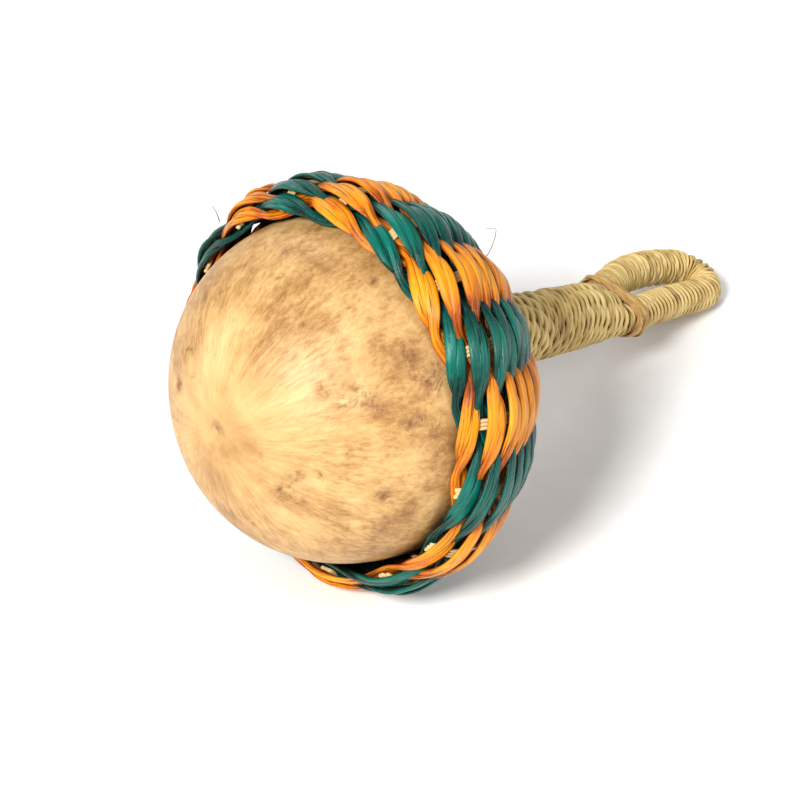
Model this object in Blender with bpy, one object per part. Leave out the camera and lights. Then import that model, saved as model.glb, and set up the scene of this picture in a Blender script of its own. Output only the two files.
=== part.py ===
"""Gourd-and-basket hand rattle.

A half gourd closes the front of a twined basket. Its stakes gather into a wrapped handle that ends in a
hanging loop, and dry seeds lie loose inside. The rattle lies on the plane z = 0 as it rests on a table:
handle towards +X, gourd towards -X, so the basket's widest rows and the loop's end both touch the plane.

Units are metres. Four empties carry the pieces: the head, whose local +Z runs along the basket's axis
towards the handle and whose local +X points down; the handle; the loop, which lies in its local YZ plane;
and the seeds' frame, in the middle of the gourd's ball.
"""
import math

import bmesh
import bpy
from mathutils import Euler, Matrix, Vector

MM = 0.001
GAP = 0.3 * MM

# Attitude
HEAD_DROOP = math.radians(11.7)
HANDLE_DROOP = math.radians(18.6)
REST_CUT = 0.6 * MM

# Gourd: part of a ball, cut just behind its widest circle
GOURD_RADIUS = 50.1 * MM
GOURD_CENTRE = 10.7 * MM
GOURD_CUT = 14.0 * MM
GOURD_WALL = 4.0 * MM
GOURD_SEGMENTS = 40
GOURD_RINGS = 22

# Basket: (distance behind the rim, radius) of the middle of the weave
WEAVE_PROFILE = [
    (-2.6 * MM, 52.4 * MM),
    (1.0 * MM, 54.4 * MM),
    (6.0 * MM, 57.2 * MM),
    (12.0 * MM, 56.7 * MM),
    (19.0 * MM, 54.4 * MM),
    (28.0 * MM, 50.2 * MM),
    (38.0 * MM, 42.8 * MM),
    (48.0 * MM, 33.4 * MM),
    (56.0 * MM, 23.6 * MM),
    (62.0 * MM, 14.8 * MM),
    (67.0 * MM, 9.0 * MM),
    (73.0 * MM, 6.6 * MM),
    (78.0 * MM, 6.3 * MM),
]
STAKE_COUNT = 16
STAKE_RADIUS = 1.1 * MM
STAKE_POINTS = 18
ROW_COUNT = 13
ROW_PITCH = 6.1 * MM
FIRST_ROW = 4.2 * MM
STRAND_RADIUS = 1.2 * MM
STRAND_SWING = 2.85 * MM
STRAND_RISE = 1.6 * MM
STEPS_PER_FLOAT = 2
ORANGE_PHASE = math.radians(-8.5)

# The hand that set the stakes drew them closer on one side, and the rim is not quite round;
# both die out towards the neck
HAND_SET = math.radians(7.5)
HAND_SET_FROM = math.radians(14.0)
SPREAD = 0.008
OVAL = 0.015
OVAL_FROM = math.radians(35.0)
EVEN_RADIUS = 9.0 * MM
EVEN_FADE = 30.0 * MM

# Handle, measured along its own line from where it leaves the basket's axis
NECK = 60.0 * MM
LEAN_START = 63.0 * MM
LEAN_END = 70.0 * MM
HANDLE_LENGTH = 74.0 * MM
HANDLE_SIDES = 20
CORE_START = 6.0 * MM
CORE_STEP = 18.6 * MM
CORE_NECK_RADIUS = 4.8 * MM
CORE_RADIUS = 7.6 * MM
WRAP_WALL = 1.9 * MM
WRAP_PROFILE = [
    (5.2 * MM, 18.2 * MM),
    (7.4 * MM, 16.2 * MM),
    (10.8 * MM, 13.8 * MM),
    (16.5 * MM, 11.8 * MM),
    (40.0 * MM, 10.9 * MM),
    (64.0 * MM, 10.4 * MM),
    (74.0 * MM, 10.2 * MM),
]

# Hanging loop: (along, across, radius of the wrapped strand)
LOOP_ROLL = math.radians(14.0)
LOOP_CORE_RADIUS = 3.3 * MM
LOOP_WALL = 1.6 * MM
LOOP_PATH = [
    (1.7 * MM, -5.2 * MM, 5.3 * MM),
    (12.0 * MM, -4.5 * MM, 5.4 * MM),
    (26.0 * MM, -3.1 * MM, 5.5 * MM),
    (40.0 * MM, -2.3 * MM, 5.5 * MM),
    (49.0 * MM, -2.0 * MM, 5.5 * MM),
    (56.0 * MM, -1.4 * MM, 5.5 * MM),
    (60.5 * MM, 0.1 * MM, 5.5 * MM),
    (63.3 * MM, 3.9 * MM, 5.6 * MM),
    (63.3 * MM, 8.6 * MM, 5.7 * MM),
    (60.5 * MM, 12.3 * MM, 5.8 * MM),
    (56.0 * MM, 13.8 * MM, 5.9 * MM),
    (45.0 * MM, 15.0 * MM, 6.0 * MM),
    (33.0 * MM, 14.5 * MM, 6.0 * MM),
    (21.0 * MM, 12.1 * MM, 5.8 * MM),
    (10.0 * MM, 8.4 * MM, 5.5 * MM),
    (1.7 * MM, 5.9 * MM, 5.3 * MM),
]
LOOP_SIDES = 12
LASHING_RADIUS = 1.2 * MM
LASHING_PLACE = 4.0 * MM
LASHING_MIDDLE = 0.7 * MM
LASHING_HALF = 6.4 * MM
LASHING_REACH = 7.3 * MM
LASHING_ARC_POINTS = 8

# Seeds
SEED_RADIUS = 3.0 * MM
SEED_SQUASH = 0.8
SEED_CLEARANCE = 0.5 * MM
SEED_PITCH = 7.5 * MM
SEED_COLUMNS = 4
SEED_LINES = 2
SEED_FRONT = -36.0 * MM


def clear_scene():
    for item in list(bpy.data.objects):
        bpy.data.objects.remove(item, do_unlink=True)


def material(name, colour, roughness, metallic=0.0):
    made = bpy.data.materials.new(name)
    made.use_nodes = True
    shader = made.node_tree.nodes["Principled BSDF"]
    shader.inputs["Base Color"].default_value = (*colour, 1.0)
    shader.inputs["Roughness"].default_value = roughness
    shader.inputs["Metallic"].default_value = metallic
    return made


def link(item, look=None, parent=None):
    bpy.context.scene.collection.objects.link(item)
    item.parent = parent
    if look is not None:
        item.data.materials.append(look)
    return item


def frame(name, location, rotation, parent=None):
    empty = link(bpy.data.objects.new(name, None), parent=parent)
    empty.location = location
    empty.rotation_mode = rotation.order
    empty.rotation_euler = rotation
    return empty


def shade_round(mesh, angle=60.0):
    mesh.shade_smooth()
    mesh.set_sharp_from_angle(angle=math.radians(angle))


def tube(name, points, radii, sides, look, parent, closed=False, capped=True):
    """A round rod through the points; sides is 4, 6, 8 and so on."""
    curve = bpy.data.curves.new(name + "_path", "CURVE")
    curve.dimensions = "3D"
    curve.bevel_depth = 1.0
    curve.bevel_resolution = sides // 2 - 2
    curve.use_fill_caps = capped and not closed
    curve.render_resolution_u = 0
    spline = curve.splines.new("POLY")
    spline.points.add(len(points) - 1)
    for point, place, radius in zip(spline.points, points, radii):
        point.co = (*place, 1.0)
        point.radius = radius
    spline.use_cyclic_u = closed
    guide = bpy.data.objects.new(name + "_guide", curve)
    bpy.context.scene.collection.objects.link(guide)
    bpy.context.view_layer.update()
    depsgraph = bpy.context.evaluated_depsgraph_get()
    mesh = bpy.data.meshes.new_from_object(guide.evaluated_get(depsgraph))
    bpy.data.objects.remove(guide, do_unlink=True)
    mesh.name = name
    mesh.materials.clear()
    shade_round(mesh)
    return link(bpy.data.objects.new(name, mesh), look, parent)


def sleeve(item, wall):
    """Turns an open tube into a hollow one, with its wall inside the tube's surface."""
    solidify = item.modifiers.new("wall", "SOLIDIFY")
    solidify.thickness = wall
    solidify.offset = -1.0
    solidify.use_even_offset = True


def cut_flat(item, cutter):
    flat = item.modifiers.new("resting_flat", "BOOLEAN")
    flat.operation = "DIFFERENCE"
    flat.solver = "EXACT"
    flat.object = cutter


def smooth_profile(profile, steps=12):
    """A dense Catmull-Rom curve through the profile, with the distance run at each point."""
    knots = [Vector(pair) for pair in profile]
    knots.insert(0, 2.0 * knots[0] - knots[1])
    knots.append(2.0 * knots[-1] - knots[-2])
    dense = []
    for before, start, end, after in zip(knots, knots[1:], knots[2:], knots[3:]):
        for step in range(steps):
            t = step / steps
            linear = (end - before) * t
            square = (2.0 * before - 5.0 * start + 4.0 * end - after) * t ** 2
            cube = (3.0 * start - before - 3.0 * end + after) * t ** 3
            dense.append(0.5 * (2.0 * start + linear + square + cube))
    dense.append(knots[-2])
    runs = [0.0]
    for one, two in zip(dense, dense[1:]):
        runs.append(runs[-1] + (two - one).length)
    return dense, runs


WEAVE, WEAVE_RUNS = smooth_profile(WEAVE_PROFILE)


def weave_at(run):
    """Point and unit direction on the weave's profile at a distance run from its front end."""
    for index in range(len(WEAVE_RUNS) - 1):
        if run <= WEAVE_RUNS[index + 1]:
            break
    start, end = WEAVE[index], WEAVE[index + 1]
    share = (run - WEAVE_RUNS[index]) / (WEAVE_RUNS[index + 1] - WEAVE_RUNS[index])
    return start.lerp(end, share), (end - start).normalized()


def on_head(along, radius, angle):
    """Head-frame point; past the basket's last row it leans over with the handle."""
    neck = Vector((0.0, 0.0, NECK))
    grip = min(max((radius - EVEN_RADIUS) / EVEN_FADE, 0.0), 1.0)
    angle += grip * HAND_SET * math.sin(angle - HAND_SET_FROM)
    radius *= 1.0 + grip * (SPREAD + OVAL * math.cos(2.0 * (angle + OVAL_FROM)))
    share = min(max((along - LEAN_START) / (LEAN_END - LEAN_START), 0.0), 1.0)
    lean = Matrix.Rotation((HANDLE_DROOP - HEAD_DROOP) * share, 3, "Y")
    point = Vector((radius * math.cos(angle), radius * math.sin(angle), along))
    return neck + lean @ (point - neck)


def strand_points(row, side):
    """One strand of a twined row: side +1 starts outside the stakes and -1 inside them."""
    middle, along = weave_at(FIRST_ROW + row * ROW_PITCH)
    outward = Vector((-along.y, along.x))
    waves = STAKE_COUNT // 2
    count = STAKE_COUNT * STEPS_PER_FLOAT
    points = []
    for step in range(count):
        turn = 2.0 * math.pi * step / count
        swing = side * STRAND_SWING * math.cos(waves * turn)
        rise = -side * STRAND_RISE * math.sin(waves * turn)
        place = middle + outward * swing + along * rise
        points.append(on_head(place.x, place.y, turn + ORANGE_PHASE))
    return points


def head_height():
    """Height of the rim's centre that puts the lowest float REST_CUT under the plane."""
    tilt = Matrix.Rotation(math.pi / 2.0 + HEAD_DROOP, 3, "Y")
    lowest = min((tilt @ point).z for row in range(ROW_COUNT) for side in (1, -1)
                 for point in strand_points(row, side))
    return STRAND_RADIUS - REST_CUT - lowest


def build_gourd(head, look):
    shell = bmesh.new()
    bmesh.ops.create_uvsphere(shell, u_segments=GOURD_SEGMENTS, v_segments=GOURD_RINGS, radius=GOURD_RADIUS)
    everything = shell.verts[:] + shell.edges[:] + shell.faces[:]
    cut = (0.0, 0.0, GOURD_CUT - GOURD_CENTRE)
    bmesh.ops.bisect_plane(shell, geom=everything, plane_co=cut, plane_no=(0.0, 0.0, 1.0), clear_outer=True)
    mesh = bpy.data.meshes.new("gourd_dome")
    shell.to_mesh(mesh)
    shell.free()
    shade_round(mesh)
    gourd = link(bpy.data.objects.new("gourd_dome", mesh), look, head)
    gourd.location = (0.0, 0.0, GOURD_CENTRE)
    sleeve(gourd, GOURD_WALL)


def build_stakes(head, look):
    for number in range(STAKE_COUNT):
        angle = ORANGE_PHASE + 2.0 * math.pi * number / STAKE_COUNT
        points = []
        for step in range(STAKE_POINTS):
            middle, _ = weave_at(WEAVE_RUNS[-1] * step / (STAKE_POINTS - 1))
            points.append(on_head(middle.x, middle.y, angle))
        radii = [STAKE_RADIUS] * STAKE_POINTS
        tube(f"stake_{number + 1:02d}", points, radii, 4, look, head)


def build_weft(head, orange, green, floor):
    for row in range(ROW_COUNT):
        for colour, look, side in (("orange", orange, 1), ("green", green, -1)):
            points = strand_points(row, side)
            radii = [STRAND_RADIUS] * len(points)
            strand = tube(f"weft_{colour}_{row + 1:02d}", points, radii, 4, look, head, closed=True)
            bpy.context.view_layer.update()
            lowest = min((strand.matrix_world @ vertex.co).z for vertex in strand.data.vertices)
            if lowest < 0.0:
                cut_flat(strand, floor)


def build_handle(handle, core_look, wrap_look):
    places = [CORE_START, CORE_STEP, CORE_STEP + GAP, HANDLE_LENGTH]
    radii = [CORE_NECK_RADIUS, CORE_NECK_RADIUS, CORE_RADIUS, CORE_RADIUS]
    points = [(0.0, 0.0, place) for place in places]
    tube("handle_core", points, radii, HANDLE_SIDES, core_look, handle)

    dense, _ = smooth_profile(WRAP_PROFILE, steps=3)
    points = [(0.0, 0.0, pair.x) for pair in dense]
    radii = [pair.y for pair in dense]
    wrap = tube("handle_wrap", points, radii, HANDLE_SIDES, wrap_look, handle, capped=False)
    sleeve(wrap, WRAP_WALL)


def loop_path():
    """The loop's middle line and radii: along the near side, round the end, and back in a wide bow."""
    dense, _ = smooth_profile(LOOP_PATH, steps=3)
    return [Vector((0.0, knot.y, knot.x)) for knot in dense], [knot.z for knot in dense]


def loop_turned(droop):
    return Euler((0.0, math.pi / 2.0 + droop, LOOP_ROLL), "ZYX")


def droop_to_rest(handle_end):
    """Angle below level that puts the loop's lowest strand REST_CUT under the plane."""
    points, radii = loop_path()
    low, high = 0.0, math.radians(45.0)
    for _ in range(30):
        droop = (low + high) / 2.0
        turned = loop_turned(droop).to_matrix()
        lowest = min((turned @ point).z - radius for point, radius in zip(points, radii))
        if handle_end.z + lowest > -REST_CUT:
            low = droop
        else:
            high = droop
    return low


def build_loop(loop, core_look, wrap_look, lashing_look, floor):
    points, radii = loop_path()
    tube("loop_core", points, [LOOP_CORE_RADIUS] * len(points), LOOP_SIDES, core_look, loop)
    wrap = tube("loop_wrap", points, radii, LOOP_SIDES, wrap_look, loop, capped=False)
    sleeve(wrap, LOOP_WALL)
    cut_flat(wrap, floor)

    band = []
    for side in (1.0, -1.0):
        for step in range(LASHING_ARC_POINTS):
            angle = math.pi * (step / (LASHING_ARC_POINTS - 1) - 0.5)
            across = LASHING_MIDDLE + side * (LASHING_HALF + LASHING_REACH * math.cos(angle))
            band.append(Vector((side * LASHING_REACH * math.sin(angle), across, LASHING_PLACE)))
    tube("loop_lashing", band, [LASHING_RADIUS] * len(band), 6, lashing_look, loop, closed=True)


def build_seeds(rattle, head, look):
    """Seeds lie on the gourd's lower inner wall; each slides straight up to the wall above it."""
    middle = head.matrix_world @ Vector((0.0, 0.0, GOURD_CENTRE))
    reach = GOURD_RADIUS - GOURD_WALL - SEED_RADIUS - SEED_CLEARANCE
    seed_frame = frame("seeds", middle, Euler((0.0, 0.0, 0.0)), rattle)
    for line in range(SEED_LINES):
        for column in range(SEED_COLUMNS):
            x = SEED_FRONT + SEED_PITCH * column
            y = SEED_PITCH * (line - (SEED_LINES - 1) / 2.0)
            body = bmesh.new()
            bmesh.ops.create_icosphere(body, subdivisions=2, radius=SEED_RADIUS)
            bmesh.ops.scale(body, vec=(1.0, SEED_SQUASH, SEED_SQUASH), verts=body.verts)
            name = f"seed_{line * SEED_COLUMNS + column + 1}"
            mesh = bpy.data.meshes.new(name)
            body.to_mesh(mesh)
            body.free()
            shade_round(mesh)
            seed = link(bpy.data.objects.new(name, mesh), look, seed_frame)
            seed.location = (x, y, -math.sqrt(reach ** 2 - x ** 2 - y ** 2))


def build_floor_cutter():
    size = 400.0 * MM
    block = bmesh.new()
    bmesh.ops.create_cube(block, size=size)
    mesh = bpy.data.meshes.new("floor_cutter")
    block.to_mesh(mesh)
    block.free()
    floor = link(bpy.data.objects.new("floor_cutter", mesh))
    floor.location = (0.0, 0.0, -size / 2.0)
    floor.hide_render = True
    floor.display_type = "WIRE"
    return floor


def centre_on_origin(rattle):
    """Moves the rattle along X and Y until the origin lies under the middle of its outer box."""
    bpy.context.view_layer.update()
    places = []
    for item in rattle.children_recursive:
        if item.type == "MESH":
            places += [item.matrix_world @ vertex.co for vertex in item.data.vertices]
    for axis in (0, 1):
        values = [place[axis] for place in places]
        rattle.location[axis] = -(min(values) + max(values)) / 2.0


def build():
    clear_scene()
    gourd_look = material("gourd", (0.72, 0.46, 0.22), 0.45)
    orange_look = material("orange_straw", (0.90, 0.30, 0.02), 0.40)
    green_look = material("green_straw", (0.00, 0.16, 0.12), 0.35)
    cane_look = material("cane", (0.66, 0.48, 0.24), 0.60)
    wrap_look = material("raffia", (0.60, 0.47, 0.20), 0.55)
    lashing_look = material("lashing", (0.50, 0.27, 0.08), 0.55)
    seed_look = material("seed", (0.14, 0.05, 0.02), 0.35)

    floor = build_floor_cutter()
    rattle = frame("rattle", (0.0, 0.0, 0.0), Euler((0.0, 0.0, 0.0)))
    lying = Euler((0.0, math.pi / 2.0 + HEAD_DROOP, 0.0))
    head = frame("head", (0.0, 0.0, head_height()), lying, rattle)
    lean = Euler((0.0, HANDLE_DROOP - HEAD_DROOP, 0.0))
    handle = frame("handle", (0.0, 0.0, NECK), lean, head)
    bpy.context.view_layer.update()

    handle_end = handle.matrix_world @ Vector((0.0, 0.0, HANDLE_LENGTH))
    loop = frame("loop", handle_end, loop_turned(droop_to_rest(handle_end)), rattle)
    bpy.context.view_layer.update()

    build_gourd(head, gourd_look)
    build_stakes(head, cane_look)
    build_weft(head, orange_look, green_look, floor)
    build_handle(handle, cane_look, wrap_look)
    build_loop(loop, cane_look, wrap_look, lashing_look, floor)
    build_seeds(rattle, head, seed_look)
    centre_on_origin(rattle)


build()
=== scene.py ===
"""Gourd-and-basket hand rattle: the looks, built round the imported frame.

Lengths are in metres. Three frames carry the work. The head's local +Z runs along the basket's axis towards
the handle and its local +X points down. The handle leans a little further down, and the loop, which lies in
its own local YZ plane, a little further again.
"""
import math

import bpy
import numpy as np
from mathutils import Matrix, Vector


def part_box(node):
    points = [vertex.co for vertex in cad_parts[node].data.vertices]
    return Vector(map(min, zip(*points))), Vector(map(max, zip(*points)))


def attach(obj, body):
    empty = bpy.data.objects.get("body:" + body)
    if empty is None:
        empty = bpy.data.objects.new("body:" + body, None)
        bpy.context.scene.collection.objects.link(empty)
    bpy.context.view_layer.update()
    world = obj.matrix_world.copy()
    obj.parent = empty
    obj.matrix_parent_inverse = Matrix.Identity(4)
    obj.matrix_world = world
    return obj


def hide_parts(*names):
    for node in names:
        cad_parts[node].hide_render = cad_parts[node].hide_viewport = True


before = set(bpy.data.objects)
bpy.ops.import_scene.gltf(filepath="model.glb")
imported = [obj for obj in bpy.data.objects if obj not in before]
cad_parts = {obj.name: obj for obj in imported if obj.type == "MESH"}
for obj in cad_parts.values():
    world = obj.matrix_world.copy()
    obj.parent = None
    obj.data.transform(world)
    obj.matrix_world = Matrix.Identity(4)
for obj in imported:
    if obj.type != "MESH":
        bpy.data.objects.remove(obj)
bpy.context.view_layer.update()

MM = 0.001
FULL_TURN = 2.0 * math.pi
BODY = "rattle"

# The frame's own dimensions
HEAD_DROOP = math.radians(11.7)
HANDLE_DROOP = math.radians(18.6)
GOURD_RADIUS = 50.1 * MM
GOURD_CENTRE = 10.7 * MM
GOURD_CUT = 14.0 * MM
GOURD_WALL = 4.0 * MM
WEAVE_PROFILE = [
    (-2.6 * MM, 52.4 * MM),
    (1.0 * MM, 54.4 * MM),
    (6.0 * MM, 57.2 * MM),
    (12.0 * MM, 56.7 * MM),
    (19.0 * MM, 54.4 * MM),
    (28.0 * MM, 50.2 * MM),
    (38.0 * MM, 42.8 * MM),
    (48.0 * MM, 33.4 * MM),
    (56.0 * MM, 23.6 * MM),
    (62.0 * MM, 14.8 * MM),
    (67.0 * MM, 9.0 * MM),
    (73.0 * MM, 6.6 * MM),
    (78.0 * MM, 6.3 * MM),
]
STAKE_COUNT = 16
ROW_COUNT = 13
ROW_PITCH = 6.1 * MM
FIRST_ROW = 4.2 * MM
ORANGE_PHASE = math.radians(-8.5)
HAND_SET = math.radians(7.5)
HAND_SET_FROM = math.radians(14.0)
SPREAD = 0.008
OVAL = 0.015
OVAL_FROM = math.radians(35.0)
EVEN_RADIUS = 9.0 * MM
EVEN_FADE = 30.0 * MM
NECK = 60.0 * MM
LEAN_START = 63.0 * MM
LEAN_END = 70.0 * MM
HANDLE_LENGTH = 74.0 * MM
LOOP_ROLL = math.radians(14.0)
LOOP_DROOP = math.radians(19.71)
LOOP_PATH = [
    (1.7 * MM, -5.2 * MM, 5.3 * MM),
    (12.0 * MM, -4.5 * MM, 5.4 * MM),
    (26.0 * MM, -3.1 * MM, 5.5 * MM),
    (40.0 * MM, -2.3 * MM, 5.5 * MM),
    (49.0 * MM, -2.0 * MM, 5.5 * MM),
    (56.0 * MM, -1.4 * MM, 5.5 * MM),
    (60.5 * MM, 0.1 * MM, 5.5 * MM),
    (63.3 * MM, 3.9 * MM, 5.6 * MM),
    (63.3 * MM, 8.6 * MM, 5.7 * MM),
    (60.5 * MM, 12.3 * MM, 5.8 * MM),
    (56.0 * MM, 13.8 * MM, 5.9 * MM),
    (45.0 * MM, 15.0 * MM, 6.0 * MM),
    (33.0 * MM, 14.5 * MM, 6.0 * MM),
    (21.0 * MM, 12.1 * MM, 5.8 * MM),
    (10.0 * MM, 8.4 * MM, 5.5 * MM),
    (1.7 * MM, 5.9 * MM, 5.3 * MM),
]

gourd_low, gourd_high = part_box("gourd_dome")
GOURD_SIDE = (gourd_low.y + gourd_high.y) / 2.0
GOURD_MIDDLE = Vector((gourd_low.x + GOURD_RADIUS, GOURD_SIDE, gourd_high.z - GOURD_RADIUS))
HEAD = (Matrix.Translation(GOURD_MIDDLE)
        @ Matrix.Rotation(math.pi / 2.0 + HEAD_DROOP, 4, "Y")
        @ Matrix.Translation((0.0, 0.0, -GOURD_CENTRE)))
HANDLE = (HEAD @ Matrix.Translation((0.0, 0.0, NECK))
          @ Matrix.Rotation(HANDLE_DROOP - HEAD_DROOP, 4, "Y"))
HANDLE_END = HANDLE @ Vector((0.0, 0.0, HANDLE_LENGTH))
LOOP = (Matrix.Translation(HANDLE_END)
        @ Matrix.Rotation(math.pi / 2.0 + LOOP_DROOP, 4, "Y")
        @ Matrix.Rotation(LOOP_ROLL, 4, "Z"))


# ---------------------------------------------------------------------------------------------------
# Node materials
# ---------------------------------------------------------------------------------------------------

class Finish:
    """A node material with short ways to add and join nodes."""

    def __init__(self, name):
        self.material = bpy.data.materials.new(name)
        self.material.use_nodes = True
        self.tree = self.material.node_tree
        self.shader = self.tree.nodes["Principled BSDF"]

    def put(self, value, socket):
        if isinstance(value, bpy.types.NodeSocket):
            self.tree.links.new(value, socket)
        else:
            socket.default_value = value

    def node(self, kind, inputs=(), **settings):
        made = self.tree.nodes.new(kind)
        for key, value in settings.items():
            setattr(made, key, value)
        for key, value in dict(inputs).items():
            self.put(value, made.inputs[key])
        return made

    def maths(self, operation, one, two, three=0.0, clamp=False):
        inputs = {0: one, 1: two, 2: three}
        return self.node("ShaderNodeMath", inputs, operation=operation, use_clamp=clamp).outputs[0]

    def noise(self, vector, scale, detail, roughness, distortion=0.0):
        inputs = {"Vector": vector, "Scale": scale, "Detail": detail, "Roughness": roughness,
                  "Distortion": distortion}
        return self.node("ShaderNodeTexNoise", inputs).outputs["Fac"]

    def ramp(self, value, stops):
        made = self.node("ShaderNodeValToRGB", {"Fac": value})
        ramp = made.color_ramp
        while len(ramp.elements) < len(stops):
            ramp.elements.new(1.0)
        for element, (place, colour) in zip(ramp.elements, stops):
            element.position = place
            element.color = (*colour, 1.0)
        return made.outputs["Color"]

    def span(self, value, low, high, to_low=0.0, to_high=1.0):
        inputs = {"Value": value, "From Min": low, "From Max": high, "To Min": to_low, "To Max": to_high}
        return self.node("ShaderNodeMapRange", inputs, clamp=True).outputs["Result"]

    def mix(self, share, one, two):
        made = self.node("ShaderNodeMix", data_type="RGBA", blend_type="MIX")
        self.put(share, made.inputs[0])
        for value, socket in ((one, made.inputs[6]), (two, made.inputs[7])):
            self.put((*value, 1.0) if isinstance(value, tuple) else value, socket)
        return made.outputs[2]

    def bump(self, height, distance, strength):
        inputs = {"Height": height, "Distance": distance, "Strength": strength}
        return self.node("ShaderNodeBump", inputs).outputs["Normal"]

    def finish(self, colour, roughness, normal=None, **constants):
        self.put(colour, self.shader.inputs["Base Color"])
        self.put(roughness, self.shader.inputs["Roughness"])
        if normal is not None:
            self.put(normal, self.shader.inputs["Normal"])
        for key, value in constants.items():
            self.shader.inputs[key.replace("_", " ")].default_value = value
        return self.material


def fibre_vector(look, along, around):
    """Pattern space that runs along a strand: u in centimetres, v once round it."""
    uv = look.node("ShaderNodeTexCoord").outputs["UV"]
    inputs = {"Vector": uv, "Scale": (along, around, 1.0)}
    return look.node("ShaderNodeMapping", inputs).outputs["Vector"]


def straw_finish(name, deep, body, bright, roughness):
    """Dyed flat straw: long glossy fibres, creases, and each float its own shade, with painted shade in the
    creases and where the strand goes behind the stakes.
    """
    look = Finish(name)
    fibres = look.noise(fibre_vector(look, 0.5, 11.0), 1.0, 6.0, 0.65)
    creases = look.noise(fibre_vector(look, 0.7, 20.0), 1.0, 2.0, 0.4, 0.6)
    place = look.node("ShaderNodeTexCoord").outputs["Object"]
    patches = look.noise(place, 160.0, 3.0, 0.6)
    tone_and_shade = look.node("ShaderNodeAttribute", attribute_name="tone_and_shade").outputs["Fac"]
    shade = look.maths("MULTIPLY_ADD", look.maths("SUBTRACT", fibres, 0.5), 1.35, tone_and_shade)
    shade = look.maths("MULTIPLY_ADD", look.maths("SUBTRACT", patches, 0.5), 0.5, shade)
    # The darkest stop is painted shadow, for straw deep inside the weave
    hidden_shade = tuple(0.10 * c for c in deep)
    colour = look.ramp(shade, [(0.0, hidden_shade), (0.22, deep), (0.50, body), (0.95, bright)])
    # Thin dark lines in the fibres' creases are painted shade; the same creases are grooves in the bump
    crease_shade = look.span(creases, 0.575, 0.66)
    colour = look.mix(look.maths("MULTIPLY", crease_shade, 0.80), colour, tuple(0.22 * c for c in deep))
    height = look.maths("SUBTRACT", look.maths("MULTIPLY", fibres, 1.3), crease_shade)
    normal = look.bump(height, 0.26 * MM, 0.9)
    rough = look.span(fibres, 0.3, 0.7, roughness - 0.07, roughness + 0.10)
    return look.finish(colour, rough, normal, Specular_IOR_Level=0.34)


def raffia_finish(name, deep, body, bright):
    """Undyed twisted fibre, with painted shade making it darker brown in its creases."""
    look = Finish(name)
    fibres = look.noise(fibre_vector(look, 0.8, 10.0), 1.0, 6.0, 0.65)
    place = look.node("ShaderNodeTexCoord").outputs["Object"]
    patches = look.noise(place, 130.0, 4.0, 0.6)
    tone_and_shade = look.node("ShaderNodeAttribute", attribute_name="tone_and_shade").outputs["Fac"]
    shade = look.maths("MULTIPLY_ADD", look.maths("SUBTRACT", fibres, 0.5), 1.1, tone_and_shade)
    shade = look.maths("MULTIPLY_ADD", look.maths("SUBTRACT", patches, 0.5), 0.8, shade)
    colour = look.ramp(shade, [(0.0, deep), (0.40, body), (0.90, bright)])
    normal = look.bump(fibres, 0.15 * MM, 0.9)
    return look.finish(colour, look.span(fibres, 0.3, 0.7, 0.42, 0.62), normal, Specular_IOR_Level=0.45)


def cane_finish(name):
    """Split cane: straw-coloured, with browner fibres along it."""
    look = Finish(name)
    fibres = look.noise(fibre_vector(look, 0.6, 7.0), 1.0, 5.0, 0.6)
    colour = look.ramp(fibres, [(0.25, (0.40, 0.22, 0.07)), (0.5, (0.76, 0.53, 0.24)),
                                (0.8, (0.88, 0.70, 0.40))])
    return look.finish(colour, 0.55, look.bump(fibres, 0.1 * MM, 0.8))


# Dark marks on the gourd: (angle round the axis from the underside, angle back from the pole, size)
GOURD_SCABS = [
    (229.0, 40.0, 3.5), (236.0, 45.0, 5.0), (237.0, 50.0, 7.0), (241.0, 54.0, 5.0), (226.0, 66.0, 4.0),
    (231.0, 68.0, 5.5), (236.0, 72.0, 7.0), (241.0, 75.0, 5.0), (251.0, 62.0, 3.5), (250.0, 66.0, 4.5),
    (254.0, 70.0, 4.0), (294.0, 27.0, 5.5), (278.0, 29.0, 4.5), (293.0, 32.0, 3.5), (127.0, 30.0, 5.0),
    (101.0, 26.0, 3.5), (272.0, 36.0, 2.0), (259.0, 44.0, 2.5), (278.0, 56.0, 3.5), (169.0, 63.0, 2.0),
    (187.0, 64.0, 2.5), (201.0, 72.0, 2.5), (307.0, 51.0, 3.0), (341.0, 32.0, 2.5), (262.0, 73.0, 3.5),
    (20.0, 60.0, 6.0), (75.0, 58.0, 4.0), (140.0, 66.0, 5.0), (325.0, 72.0, 4.5),
]


def on_ball(around, back):
    """Head-frame point on the gourd's ball."""
    around = math.radians(around)
    back = math.radians(back)
    across = math.sin(back)
    return Vector((across * math.cos(around), across * math.sin(around), -math.cos(back))) * GOURD_RADIUS


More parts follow.
